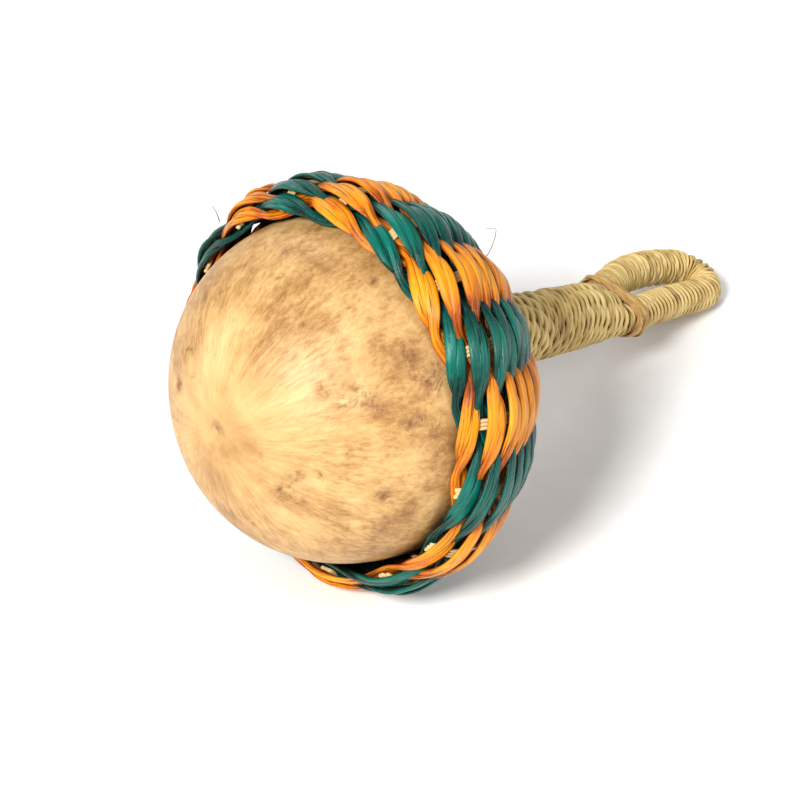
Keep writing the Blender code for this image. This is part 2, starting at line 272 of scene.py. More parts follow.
def gourd_finish():
    """Dried gourd skin: cream with streaks that run out from the pole, freckles and brown scabs."""
    look = Finish("gourd_skin")
    place = look.node("ShaderNodeTexCoord").outputs["Object"]
    turned = HEAD.to_euler()
    inputs = {"Vector": place, "Location": GOURD_MIDDLE, "Rotation": turned}
    local = look.node("ShaderNodeMapping", inputs, vector_type="TEXTURE").outputs["Vector"]
    split = look.node("ShaderNodeSeparateXYZ", {"Vector": local})
    flat = look.node("ShaderNodeCombineXYZ", {"X": split.outputs["X"], "Y": split.outputs["Y"]}).outputs[0]
    ray = look.node("ShaderNodeVectorMath", {0: flat}, operation="NORMALIZE").outputs[0]
    parts = look.node("ShaderNodeSeparateXYZ", {"Vector": ray})
    depth = look.maths("MULTIPLY", split.outputs["Z"], 14.0)
    streak_space = look.node("ShaderNodeCombineXYZ", {"X": parts.outputs["X"], "Y": parts.outputs["Y"],
                                                       "Z": depth}).outputs[0]

    patches = look.noise(local, 34.0, 6.0, 0.62, 0.4)
    streaks = look.noise(streak_space, 5.0, 8.0, 0.68, 0.3)
    fine = look.noise(streak_space, 27.0, 8.0, 0.75, 0.4)
    reach = look.node("ShaderNodeVectorMath", {0: flat}, operation="LENGTH").outputs["Value"]
    drawn = look.span(reach, 5.0 * MM, 26.0 * MM)
    base = look.maths("MULTIPLY", look.maths("SUBTRACT", streaks, 0.5), look.maths("MULTIPLY", drawn, 0.62))
    base = look.maths("ADD", base, patches)
    fleck = look.maths("MULTIPLY", look.maths("SUBTRACT", fine, 0.5), look.maths("MULTIPLY", drawn, 0.85))
    base = look.maths("ADD", base, fleck)
    colour = look.ramp(base, [(0.18, (0.20, 0.085, 0.024)), (0.36, (0.37, 0.190, 0.060)),
                              (0.53, (0.56, 0.335, 0.125)), (0.76, (0.70, 0.480, 0.215))])

    freckles = look.noise(local, 260.0, 3.0, 0.7, 0.5)
    where = look.noise(local, 45.0, 3.0, 0.6)
    freckles = look.maths("MULTIPLY", look.span(freckles, 0.60, 0.72), look.span(where, 0.48, 0.62))
    colour = look.mix(look.maths("MULTIPLY", freckles, 0.55), colour, (0.22, 0.10, 0.03))

    ragged = look.noise(local, 120.0, 6.0, 0.7, 1.0)
    crust = look.noise(local, 420.0, 4.0, 0.7)
    scabs = None
    halo = None
    for around, back, size in GOURD_SCABS:
        inputs = {0: local, 1: on_ball(around, back)}
        away = look.node("ShaderNodeVectorMath", inputs, operation="DISTANCE").outputs["Value"]
        near = look.span(away, 0.0, size * MM, 1.0, 0.0)
        wide = look.span(away, 0.0, 2.6 * size * MM, 1.0, 0.0)
        scabs = near if scabs is None else look.maths("MAXIMUM", scabs, near)
        halo = wide if halo is None else look.maths("MAXIMUM", halo, wide)
    broken = look.maths("MULTIPLY", look.span(ragged, 0.42, 0.62), look.span(crust, 0.35, 0.6))
    stain = look.maths("MULTIPLY", look.maths("MULTIPLY", halo, look.span(ragged, 0.40, 0.70)), 0.55)
    colour = look.mix(stain, colour, (0.38, 0.165, 0.045))
    scab = look.maths("MULTIPLY", look.span(scabs, 0.05, 0.75), broken, clamp=True)
    colour = look.mix(look.maths("MULTIPLY", scab, 0.9), colour, (0.175, 0.062, 0.020))

    pole = look.node("ShaderNodeVectorMath", {0: local, 1: on_ball(150.0, 2.0)}, operation="DISTANCE")
    pole_mark = look.maths("MULTIPLY", look.span(pole.outputs["Value"], 0.6 * MM, 3.4 * MM, 1.0, 0.0),
                           look.span(ragged, 0.40, 0.60))
    colour = look.mix(pole_mark, colour, (0.20, 0.09, 0.03))

    height = look.maths("MULTIPLY_ADD", scab, -1.5, look.maths("MULTIPLY", fine, 0.35))
    height = look.maths("ADD", height, look.maths("MULTIPLY", patches, 0.6))
    normal = look.bump(height, 0.35 * MM, 0.7)
    rough = look.span(look.maths("ADD", streaks, scab), 0.3, 1.2, 0.42, 0.62)
    return look.finish(colour, rough, normal, Specular_IOR_Level=0.38)


def seed_finish():
    """Hard dark seed coat with pale speckles."""
    look = Finish("seed_coat")
    place = look.node("ShaderNodeTexCoord").outputs["Object"]
    speckle = look.noise(place, 900.0, 4.0, 0.6)
    colour = look.ramp(speckle, [(0.35, (0.05, 0.015, 0.006)), (0.6, (0.20, 0.07, 0.02)),
                                 (0.8, (0.42, 0.22, 0.08))])
    return look.finish(colour, 0.34, look.bump(speckle, 0.05 * MM, 0.5))


def floor_finish():
    look = Finish("pale_floor")
    place = look.node("ShaderNodeTexCoord").outputs["Object"]
    grain = look.noise(place, 60.0, 4.0, 0.6)
    return look.finish(look.ramp(grain, [(0.3, (0.86, 0.86, 0.86)), (0.7, (0.90, 0.90, 0.90))]), 0.8)


# ---------------------------------------------------------------------------------------------------
# Swept strands
# ---------------------------------------------------------------------------------------------------

LEAST_HEIGHT = 0.05 * MM
FOLD_WIDTH = 0.3
# Fall-off of the painted shade towards each strand's inner side
CREASE_SHADE_FALL = 1.3


class Bundle:
    """Collects swept strands and turns them into one mesh object that stays above the floor."""

    def __init__(self):
        self.points = []
        self.faces = []
        self.uvs = []
        self.tones_and_shades = []
        self.count = 0

    def sweep(self, middles, wide, thin, half_wide, half_thin, tone_and_shade, sides=8, closed=False, fold=None,
              crease_shade=0.0):
        """A strand along middles; wide and thin are unit vectors across it at each point.

        A fold is a groove along the outer side, as (place from -1 to 1 across, depth). The crease amount is
        painted shade that darkens the strand towards its inner side, through the point attribute of tone
        and painted shade.
        """
        count = len(middles)
        spin = -math.pi / 2.0 + FULL_TURN * np.arange(sides) / sides
        across = np.cos(spin)[None, :, None] * (half_wide[:, None] * wide)[:, None, :]
        height = np.tile(np.sin(spin), (count, 1))
        if fold is not None:
            place, depth = fold
            groove = np.exp(-((np.cos(spin) - place[:, None]) / FOLD_WIDTH) ** 2)
            height -= depth[:, None] * groove * (height > 0.0)
        up = height[:, :, None] * (half_thin[:, None] * thin)[:, None, :]
        ring = middles[:, None, :] + across + up
        heading = np.roll(middles, -1, axis=0) - middles
        outward = float(np.sum(np.cross(wide, thin)[:-1] * heading[:-1])) > 0.0

        # The UV map runs in centimetres along the strand and once round it
        hops = np.linalg.norm(heading, axis=1)
        run = np.concatenate([[0.0], np.cumsum(hops)]) * 100.0
        last = count if closed else count - 1
        for i in range(last):
            j = (i + 1) % count
            for side in range(sides):
                step = (side + 1) % sides
                corners = [(i, side, run[i], side), (i, step, run[i], side + 1),
                           (j, step, run[i + 1], side + 1), (j, side, run[i + 1], side)]
                if not outward:
                    corners.reverse()
                self.faces.append([self.count + ring_number * sides + corner
                                   for ring_number, corner, _, _ in corners])
                self.uvs.extend((along, turn / sides) for _, _, along, turn in corners)
        if not closed:
            for end in (0, count - 1):
                loop = [self.count + end * sides + side for side in range(sides)]
                if (end == 0) == outward:
                    loop.reverse()
                self.faces.append(loop)
                self.uvs.extend((run[end], side / sides) for side in range(sides))
        self.points.append(ring.reshape(-1, 3))
        # Painted shade: each ring darker towards the strand's inner side
        inner_shade = crease_shade * (0.5 - 0.5 * np.sin(spin)) ** CREASE_SHADE_FALL
        self.tones_and_shades.append((tone_and_shade[:, None] - inner_shade[None, :]).ravel())
        self.count += count * sides

    def build(self, name, look):
        points = np.concatenate(self.points)
        points[:, 2] = np.maximum(points[:, 2], LEAST_HEIGHT)
        mesh = bpy.data.meshes.new(name)
        mesh.from_pydata(points.tolist(), [], self.faces)
        mesh.uv_layers.new(name="UVMap").uv.foreach_set("vector", np.array(self.uvs, np.float32).ravel())
        tones_and_shades = mesh.attributes.new("tone_and_shade", "FLOAT", "POINT")
        tones_and_shades.data.foreach_set("value", np.concatenate(self.tones_and_shades).astype(np.float32))
        mesh.materials.append(look)
        mesh.shade_smooth()
        made = bpy.data.objects.new(name, mesh)
        bpy.context.scene.collection.objects.link(made)
        return made


def unit(vectors):
    return vectors / np.linalg.norm(vectors, axis=-1, keepdims=True)


def place_points(matrix, points):
    turn = np.array(matrix.to_3x3())
    return points @ turn.T + np.array(matrix.translation)


def turn_vectors(matrix, vectors):
    return vectors @ np.array(matrix.to_3x3()).T


def wander(dice, angle, step, amount):
    """Random values, one every step, eased along a rising angle."""
    knots = np.arange(0.0, angle[-1] + step, step)
    return np.interp(angle, knots, dice.uniform(-amount, amount, len(knots)))


def sampled(values, run, where):
    """Rows of values, known at the distances run, read off at the distances where."""
    return np.stack([np.interp(where, run, values[:, k]) for k in range(values.shape[1])], -1)


def stand_for(piece, slot, *nodes, body=BODY):
    """Says which body a piece rides on and which CAD nodes it replaces. The slot argument is not used."""
    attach(piece, body)
    if nodes:
        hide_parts(*nodes)


# ---------------------------------------------------------------------------------------------------
# Basket
# ---------------------------------------------------------------------------------------------------

def smooth_profile(profile, steps=12):
    """A dense Catmull-Rom curve through the profile, with the distance run at each point."""
    knots = np.array(profile)
    knots = np.vstack([2.0 * knots[0] - knots[1], knots, 2.0 * knots[-1] - knots[-2]])
    dense = []
    for before, start, end, after in zip(knots, knots[1:], knots[2:], knots[3:]):
        for step in range(steps):
            t = step / steps
            linear = (end - before) * t
            square = (2.0 * before - 5.0 * start + 4.0 * end - after) * t ** 2
            cube = (3.0 * start - before - 3.0 * end + after) * t ** 3
            dense.append(0.5 * (2.0 * start + linear + square + cube))
    dense = np.array(dense + [knots[-2]])
    hops = np.linalg.norm(np.diff(dense, axis=0), axis=1)
    return dense, np.concatenate([[0.0], np.cumsum(hops)])


WEAVE, WEAVE_RUNS = smooth_profile(WEAVE_PROFILE)
WEAVE_SLOPES = unit(np.gradient(WEAVE, WEAVE_RUNS, axis=0))


def weave_at(run):
    """Points and unit directions on the weave's profile at the distances run from its front end."""
    return sampled(WEAVE, WEAVE_RUNS, run), unit(sampled(WEAVE_SLOPES, WEAVE_RUNS, run))


def on_head(along, radius, angle):
    """World points from distance along the head's axis, radius and angle; past the weave they lean over."""
    grip = np.clip((radius - EVEN_RADIUS) / EVEN_FADE, 0.0, 1.0)
    angle = angle + grip * HAND_SET * np.sin(angle - HAND_SET_FROM)
    radius = radius * (1.0 + grip * (SPREAD + OVAL * np.cos(2.0 * (angle + OVAL_FROM))))
    share = np.clip((along - LEAN_START) / (LEAN_END - LEAN_START), 0.0, 1.0)
    lean = (HANDLE_DROOP - HEAD_DROOP) * share
    x = radius * np.cos(angle)
    y = radius * np.sin(angle)
    z = along - NECK
    leaned_x = x * np.cos(lean) + z * np.sin(lean)
    leaned_z = z * np.cos(lean) - x * np.sin(lean) + NECK
    return place_points(HEAD, np.stack([leaned_x, y, leaned_z], -1))


def head_vectors(pair, angle):
    """World vectors from (along, outward) components at an angle round the head's axis."""
    local = np.stack([pair[..., 1] * np.cos(angle), pair[..., 1] * np.sin(angle), pair[..., 0]], -1)
    return turn_vectors(HEAD, local)


# A float is one strand's pass over a stake. Swing is in and out of the stakes and rise is along the weave;
# the two tables give (distance along the weave, value), and out moves the whole row off the weave's middle
STRAW_SAMPLES = 32
STRAW_SIDES = 12
STRAW_RISE = 1.9 * MM
STRAW_SPREAD = 1.14
# Painted shade on the plies' inner sides
STRAW_CREASE_SHADE = 0.35
STRAW_SWING = [
    (4.2 * MM, 1.75 * MM),
    (10.3 * MM, 1.95 * MM),
    (16.4 * MM, 2.1 * MM),
    (30.0 * MM, 2.15 * MM),
]
STRAW_OUT = [
    (4.2 * MM, -2.1 * MM),
    (10.3 * MM, -0.9 * MM),
    (16.4 * MM, 0.5 * MM),
    (30.0 * MM, 1.2 * MM),
    (65.0 * MM, 1.1 * MM),
    (78.0 * MM, 0.2 * MM),
]
PLY_SPLIT = 1.20 * MM
PLY_STACK = 0.62 * MM
PLY_WIDE = 1.72 * MM
PLY_NARROW = 0.62 * MM
PLY_OFFSET = math.radians(24.0)
PLY_THICK = 0.72 * MM
PLY_LEAN = 0.25
ROW_WAVER = 0.25 * MM


def by_run(table, run):
    return np.interp(run, [pair[0] for pair in table], [pair[1] for pair in table])


def straw_row(row, side, dice):
    """The two plies of one twined strand. Side +1 starts outside the stakes and -1 inside them.

    Each float gets its own small changes, which fade out where the strand ducks behind a stake.
    """
    waves = STAKE_COUNT // 2
    count = waves * STRAW_SAMPLES
    turn = FULL_TURN * np.arange(count) / count
    phase = waves * turn + (0.0 if side > 0 else math.pi)
    number = np.floor((phase + math.pi) / FULL_TURN).astype(int) % waves
    window = 0.5 + 0.5 * np.cos(phase)

    def varied(amount):
        return amount * dice.uniform(-1.0, 1.0, waves)[number] * window

    run = FIRST_ROW + row * ROW_PITCH + ROW_WAVER * np.sin(turn * 2.0 + dice.uniform(0.0, FULL_TURN))
    middle, along = weave_at(run)
    outward = np.stack([-along[:, 1], along[:, 0]], -1)
    swing = (by_run(STRAW_SWING, run) + varied(0.15 * MM)) * np.cos(phase)
    rise = -(STRAW_RISE + varied(0.2 * MM)) * np.sin(phase) + varied(0.45 * MM)
    angle = turn + ORANGE_PHASE
    out = by_run(STRAW_OUT, run)

    bundle = Bundle()
    wide = head_vectors(along, angle)
    thin = head_vectors(outward, angle)
    for ply in (1.0, -1.0):
        twist = phase - 0.30 * np.sin(2.0 * phase) + varied(0.35)
        split = ply * PLY_SPLIT * STRAW_SPREAD * (1.0 + varied(0.2)) * np.cos(twist)
        stack = ply * PLY_STACK * np.sin(twist)
        place = middle + outward * (out + swing + stack)[:, None] + along * (rise + split)[:, None]
        shown = 0.5 + 0.5 * np.cos(phase - ply * PLY_OFFSET)
        taper = np.maximum(shown, 0.92 * (1.0 - shown)) ** 1.1
        half_wide = STRAW_SPREAD * (PLY_NARROW + (PLY_WIDE - PLY_NARROW) * taper) * (1.0 + varied(0.2))
        half_thin = PLY_THICK * (0.90 + 0.20 * window + varied(0.12))
        # Each float's own random tone, plus painted shade: darker where the strand goes in behind the
        # stakes and where it passes between them
        tone_and_shade = 0.66 + varied(0.16) - 0.22 * (1.0 - window) - 0.16 * np.sin(phase) ** 4
        fold = (varied(0.75), 0.32 + varied(0.25))
        lean = PLY_LEAN * np.sin(twist)
        across = unit(wide + lean[:, None] * ply * thin)
        up = unit(thin - lean[:, None] * ply * wide)
        bundle.sweep(on_head(place[:, 0], place[:, 1], angle), across, up, half_wide, half_thin, tone_and_shade,
                     STRAW_SIDES, True, fold, STRAW_CREASE_SHADE)
    return bundle


def build_weft(orange, green):
    for row in range(ROW_COUNT):
        for colour, look, side in (("orange", orange, 1), ("green", green, -1)):
            dice = np.random.default_rng(100 * row + 7 + side)
            piece = straw_row(row, side, dice).build(f"{colour}_straw_{row + 1:02d}", look)
            stand_for(piece, f"{colour}_straw", f"weft_{colour}_{row + 1:02d}")


STAKE_STEPS = 44
STAKE_CANE_RADIUS = 0.55 * MM
STAKE_CANE_PITCH = 1.12 * MM
# The canes' pitch is never more than this share of the weave's radius
STAKE_SHARE = 0.115


def build_stakes(look):
    """Each stake is three thin canes side by side, cut off unevenly in front of the first row."""
    for number in range(STAKE_COUNT):
        dice = np.random.default_rng(40 + number)
        bundle = Bundle()
        for cane in (-1, 0, 1):
            start = dice.uniform(1.6, 3.0) * MM
            run = np.linspace(start, WEAVE_RUNS[-1], STAKE_STEPS)
            middle, along = weave_at(run)
            outward = np.stack([-along[:, 1], along[:, 0]], -1)
            middle = middle + outward * by_run(STRAW_OUT, run)[:, None]
            gap = np.minimum(STAKE_CANE_PITCH, middle[:, 1] * STAKE_SHARE)
            waver = 0.002 * np.sin(run / MM * 0.21 + number)
            angle = (ORANGE_PHASE + FULL_TURN * number / STAKE_COUNT
                     + cane * gap / middle[:, 1] + waver)
            wide = head_vectors(np.stack([-outward[:, 1], outward[:, 0]], -1), angle)
            thin = head_vectors(outward, angle)
            radius = np.minimum(STAKE_CANE_RADIUS, gap * 0.52)
            sideways = unit(np.cross(wide, thin))
            bundle.sweep(on_head(middle[:, 0], middle[:, 1], angle), sideways, thin, radius, radius,
                         np.full(STAKE_STEPS, 0.5 + dice.uniform(-0.2, 0.2)))
        piece = bundle.build(f"stake_canes_{number + 1:02d}", look)
        stand_for(piece, "cane", f"stake_{number + 1:02d}")


# ---------------------------------------------------------------------------------------------------
# Gourd and seeds
# ---------------------------------------------------------------------------------------------------

def start_clean():
    """Object mode with nothing selected."""
    if bpy.context.object is not None and bpy.context.object.mode != "OBJECT":
        bpy.ops.object.mode_set(mode="OBJECT")
    bpy.ops.object.select_all(action="DESELECT")


def build_gourd(look):
    """A ball cut just behind its widest circle, swollen a little, with a wall turned inwards."""
    start_clean()
    bpy.ops.mesh.primitive_uv_sphere_add(segments=160, ring_count=96, radius=GOURD_RADIUS,
                                         location=(0, 0, 0))
    gourd = bpy.context.object
    gourd.name = "gourd_shell"
    bpy.ops.object.mode_set(mode="EDIT")
    bpy.ops.mesh.select_all(action="SELECT")
    cut = (0.0, 0.0, GOURD_CUT - GOURD_CENTRE)
    bpy.ops.mesh.bisect(plane_co=cut, plane_no=(0.0, 0.0, 1.0), clear_outer=True)
    bpy.ops.object.mode_set(mode="OBJECT")

    # A grown shape: a few broad swellings, and a shallow dimple at the pole
    for vertex in gourd.data.vertices:
        ray = vertex.co.normalized()
        around = math.atan2(ray.y, ray.x)
        fade = 1.0 - max(0.0, (ray.z + 0.25)) / 0.32 if ray.z > -0.25 else 1.0
        swell = 0.28 * math.sin(3.0 * around + 0.6) * (1.0 - ray.z * ray.z)
        swell += 0.22 * math.sin(5.0 * ray.z + 2.0 * around)
        dimple = -0.5 * math.exp(-((1.0 + ray.z) / 0.0035))
        vertex.co += ray * (swell * max(fade, 0.0) + dimple) * MM

    wall = gourd.modifiers.new("wall", "SOLIDIFY")
    wall.thickness = GOURD_WALL
    wall.offset = -1.0
    bpy.ops.object.modifier_apply(modifier=wall.name)
    gourd.data.transform(HEAD @ Matrix.Translation((0.0, 0.0, GOURD_CENTRE)))
    bpy.ops.object.shade_smooth_by_angle(angle=math.radians(50.0))
    gourd.data.materials.append(look)
    stand_for(gourd, "gourd", "gourd_dome")


SEED_COUNT = 8


def build_seeds(look):
    """Beans with a bent, dented side, one at each seed's place."""
    for number in range(1, SEED_COUNT + 1):
        low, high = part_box(f"seed_{number}")
        start_clean()
        bpy.ops.mesh.primitive_uv_sphere_add(segments=24, ring_count=16, radius=1.0, location=(0, 0, 0))
        seed = bpy.context.object
        seed.name = f"bean_{number}"
        half = (high - low) / 2.0
        middle = (high + low) / 2.0
        for vertex in seed.data.vertices:
            x, y, z = vertex.co
            dent = 0.22 * math.exp(-(x * x) / 0.12) * max(y, 0.0)
            bend = 0.10 * (x * x - 0.5)
            vertex.co = (x * half.x, (y * 0.9 - dent + bend * 0.9) * half.y, z * half.z * 0.95)
        seed.data.transform(Matrix.Translation(middle))
        bpy.ops.object.shade_smooth()
        seed.data.materials.append(look)
        stand_for(seed, "seed", f"seed_{number}", body=f"seed_{number}")


# ---------------------------------------------------------------------------------------------------
# Handle, loop and lashing
# ---------------------------------------------------------------------------------------------------

HANDLE_SKIN = [
    (5.2 * MM, 17.60 * MM),
    (7.4 * MM, 15.60 * MM),
    (10.8 * MM, 13.40 * MM),
    (16.5 * MM, 11.80 * MM),
    (28.0 * MM, 11.30 * MM),
    (40.0 * MM, 10.95 * MM),
    (52.0 * MM, 10.70 * MM),
    (64.0 * MM, 10.40 * MM),
    (74.0 * MM, 10.20 * MM),
]
CORD_PITCH = 2.75 * MM
CORD_PLY = 0.80 * MM
CORD_SPLIT = 0.68 * MM
CORD_LAY = 13.0 * MM
CORD_SIDES = 7
# Painted shade on the cord's inner sides
CORD_CREASE_SHADE = 0.5
SQUEEZE_START = 61.0 * MM
SQUEEZE_LENGTH = 15.0 * MM
SQUEEZED_THIN = 7.4 * MM
SQUEEZED_WIDE = 11.0 * MM
WINDING_START = 5.6 * MM
WINDING_END = HANDLE_LENGTH + 0.5 * MM
WINDING_STEPS = 72
LINING_RINGS = 60
LINING_SIDES = 40


def handle_surface(place, angle):
    """Radius of the wrapped handle; its end squeezes down to the loop's two roots, side by side."""
    skin = np.array(HANDLE_SKIN)
    radius = np.interp(place, skin[:, 0], skin[:, 1])
    share = np.clip((place - SQUEEZE_START) / SQUEEZE_LENGTH, 0.0, 1.0)
    share = share * share * (3.0 - 2.0 * share)
    roll = angle - LOOP_ROLL
    flat = 1.0 / np.sqrt((np.cos(roll) / SQUEEZED_THIN) ** 2 + (np.sin(roll) / SQUEEZED_WIDE) ** 2)
    return radius * (1.0 - share) + flat * share


def two_ply(bundle, frame_matrix, middles, outward, across, ply_radius, split, lay, squash, tone_and_shade):
    """Twisted cord of two plies along middles, which are local to the given frame."""
    middles = place_points(frame_matrix, middles)
    outward = turn_vectors(frame_matrix, outward)
    across = turn_vectors(frame_matrix, across)
    hops = np.linalg.norm(np.diff(middles, axis=0), axis=1)
    run = np.concatenate([[0.0], np.cumsum(hops)])
    twist = FULL_TURN * run / lay
    radius = np.full(len(middles), ply_radius)
    for ply in (0.0, math.pi):
        sideways = (np.cos(twist + ply) * squash)[:, None] * across
        upwards = (np.sin(twist + ply) * 0.75)[:, None] * outward
        bundle.sweep(middles + (sideways + upwards) * split, across, outward, radius * squash, radius, tone_and_shade,
                     CORD_SIDES, crease_shade=CORD_CREASE_SHADE)


def build_handle_wrap(look):
    """Cord wound turn by turn from the basket's neck to the loop's roots, over a plain lining."""
    dice = np.random.default_rng(11)
    turns = (WINDING_END - WINDING_START) / CORD_PITCH
    count = int(turns * WINDING_STEPS)
    angle = FULL_TURN * turns * np.arange(count) / (count - 1)
    place = WINDING_START + (WINDING_END - WINDING_START) * angle / angle[-1]
    place = place + wander(dice, angle, FULL_TURN / 3.0, 0.16 * MM)
    depth = CORD_PLY + 0.75 * CORD_SPLIT
    radius = handle_surface(place, angle) - depth
    local = np.stack([radius * np.cos(angle), radius * np.sin(angle), place], -1)
    outward = np.stack([np.cos(angle), np.sin(angle), np.zeros(count)], -1)
    across = np.tile([0.0, 0.0, 1.0], (count, 1))
    tone_and_shade = 0.5 + wander(dice, angle, 2.1, 0.2)
    bundle = Bundle()
    two_ply(bundle, HANDLE, local, outward, across, CORD_PLY, CORD_SPLIT, CORD_LAY, np.ones(count), tone_and_shade)

    # A dark lining under the cord, so that no gap shows the canes: its dark colour is painted shade in the
    # gaps between turns
    steps = np.linspace(WINDING_START, WINDING_END, LINING_RINGS)
    nothing = np.zeros(LINING_RINGS)
    middles = place_points(HANDLE, np.stack([nothing, nothing, steps], -1))
    wide = turn_vectors(HANDLE, np.tile([0.0, 1.0, 0.0], (LINING_RINGS, 1)))
    thin = turn_vectors(HANDLE, np.tile([1.0, 0.0, 0.0], (LINING_RINGS, 1)))
    half_wide = handle_surface(steps, math.pi / 2.0 + LOOP_ROLL) - 2.0 * depth + 0.4 * MM
    half_thin = handle_surface(steps, LOOP_ROLL) - 2.0 * depth + 0.4 * MM
    bundle.sweep(middles, wide, thin, half_wide, half_thin, np.full(LINING_RINGS, 0.1), LINING_SIDES)
    piece = bundle.build("handle_winding", look)
    stand_for(piece, "raffia", "handle_wrap")


CANE_RADIUS = 0.92 * MM
CANE_RINGS = ((0, 1), (1, 6), (2, 12))
CANE_STEPS = 12


def build_handle_canes(look):
    """The bundle of canes inside the handle's winding."""
    bundle = Bundle()
    dice = np.random.default_rng(61)
    place = np.linspace(6.4 * MM, 73.5 * MM, CANE_STEPS)
    wide = turn_vectors(HANDLE, np.tile([0.0, 1.0, 0.0], (CANE_STEPS, 1)))
    thin = turn_vectors(HANDLE, np.tile([1.0, 0.0, 0.0], (CANE_STEPS, 1)))
    for ring, around in CANE_RINGS:
        for number in range(around):
            angle = FULL_TURN * number / around + 0.2 * ring
            reach = ring * 2.02 * CANE_RADIUS
            x = np.full(CANE_STEPS, reach * math.cos(angle))
            y = np.full(CANE_STEPS, reach * math.sin(angle))
            radius = CANE_RADIUS * (0.94 + dice.uniform(-0.05, 0.05, CANE_STEPS))
            middles = place_points(HANDLE, np.stack([x, y, place], -1))
            bundle.sweep(middles, wide, thin, radius, radius, np.full(CANE_STEPS, 0.5), 10)
    piece = bundle.build("handle_canes", look)
    stand_for(piece, "cane", "handle_core")


LOOP_FULLNESS = 0.2 * MM
LOOP_CORD_PITCH = 2.25 * MM
LOOP_CORD_PLY = 0.66 * MM
LOOP_CORD_SPLIT = 0.55 * MM
LOOP_CORD_LAY = 15.0 * MM
LOOP_POINTS = 600
LOOP_STEPS = 34


def loop_path(count):
    """The loop's middle line in its own YZ plane, evenly stepped, and its radius: out, round and back."""
    dense, runs = smooth_profile(LOOP_PATH, 20)
    even = np.linspace(0.0, runs[-1], count)
    across, along, radius = (np.interp(even, runs, dense[:, k]) for k in (1, 0, 2))
    path = np.stack([np.zeros(count), across, along], -1)
    for _ in range(4):
        path[1:-1] = 0.25 * path[:-2] + 0.5 * path[1:-1] + 0.25 * path[2:]
    return path, even, radius + LOOP_FULLNESS


def build_loop_wrap(look):
    """Cord wound round the loop's strand, narrower on the inside of a bend and wider outside it."""
    dice = np.random.default_rng(23)
    path, run, thick = loop_path(LOOP_POINTS)
    heading = unit(np.gradient(path, run, axis=0))
    inward = np.cross(heading, np.array([1.0, 0.0, 0.0]))
    turns = run[-1] / LOOP_CORD_PITCH
    count = int(turns * LOOP_STEPS)
    angle = FULL_TURN * turns * np.arange(count) / (count - 1)
    where = run[-1] * np.arange(count) / (count - 1)
    where = where + wander(dice, angle, 4.0, 0.12 * MM)
    where = np.clip(where, 0.0, run[-1])
    middle = sampled(path, run, where)
    ahead = unit(sampled(heading, run, where))
    side = unit(sampled(inward, run, where))
    flat = np.tile([1.0, 0.0, 0.0], (count, 1))
    outward = np.cos(angle)[:, None] * side + np.sin(angle)[:, None] * flat
    radius = np.interp(where, run, thick) - LOOP_CORD_PLY * 1.45
    local = middle + radius[:, None] * outward
    bend = sampled(np.gradient(heading, run, axis=0), run, where)
    stretch = np.clip(1.0 - radius * np.sum(bend * outward, axis=1), 0.45, 1.8)
    tone_and_shade = 0.5 + wander(dice, angle, 3.0, 0.22)
    bundle = Bundle()
    two_ply(bundle, LOOP, local, outward, ahead, LOOP_CORD_PLY, LOOP_CORD_SPLIT, LOOP_CORD_LAY, stretch,
            tone_and_shade)

    # A darker lining under the cord: painted shade in the gaps between its turns
    lining = thick - 1.55 * MM
    flat = np.tile([1.0, 0.0, 0.0], (len(path), 1))
    bundle.sweep(place_points(LOOP, path), turn_vectors(LOOP, inward), turn_vectors(LOOP, flat),
                 lining, lining, np.full(len(path), 0.25), 20)
    piece = bundle.build("loop_winding", look)
    stand_for(piece, "raffia", "loop_wrap")


LASHING_MIDDLE = 0.9 * MM
LASHING_HALF = 6.0 * MM
LASHING_REACH = 5.75 * MM
LASHING_PLY = 0.44 * MM
LASHING_SPLIT = 0.30 * MM
LASHING_LAY = 11.0 * MM
LASHING_STEPS = 120
# First and last place along the loop in mm, number of turns, slant and lift in mm
LASHING_TURNS = (
    (2.9, 9.0, 6.0, 0.0, 0.0),
    (4.0, 8.4, 1.0, 1.8, 0.45),
)


def build_lashing(look):
    """Flat turns round both roots of the loop, close together, and one that crosses over them."""
    bundle = Bundle()
    for first, last, turns, slant, lift in LASHING_TURNS:
        count = int(turns * LASHING_STEPS)
        angle = FULL_TURN * turns * np.arange(count) / (count - 1)
        reach = LASHING_REACH + lift * MM
        x = np.cos(angle)
        y = np.sin(angle)
        local_y = LASHING_MIDDLE + LASHING_HALF * np.tanh(3.0 * y) + reach * y
        local_x = reach * np.sign(x) * np.abs(x) ** 0.75
        local_z = (first + (last - first) * angle / angle[-1]) * MM - 0.10 * local_y + slant * MM * x
        local = np.stack([local_x, local_y, local_z], -1)
        outward = unit(np.stack([x, 0.7 * y, np.zeros(count)], -1))
        across = np.tile([0.0, 0.0, 1.0], (count, 1))
        tone_and_shade = 0.5 + 0.25 * np.sin(angle * 0.83 + 1.0)
        two_ply(bundle, LOOP, local, outward, across, LASHING_PLY, LASHING_SPLIT, LASHING_LAY,
                np.full(count, 1.25), tone_and_shade)
    piece = bundle.build("loop_lashing_turns", look)
    stand_for(piece, "lashing", "loop_lashing")


# Points of each stray fibre, in mm from the rim's middle
LONG_FIBRE = [
    (42.0, -21.5, 34.3),
    (43.9, -22.6, 36.0),
    (45.2, -23.4, 39.6),
    (45.8, -23.8, 43.0),
    (45.4, -23.5, 44.2),
    (43.6, -21.9, 44.3),
]
SHORT_FIBRE = [
    (9.5, 48.0, 32.5),
    (10.8, 50.5, 33.6),
    (12.0, 53.5, 34.2),
]


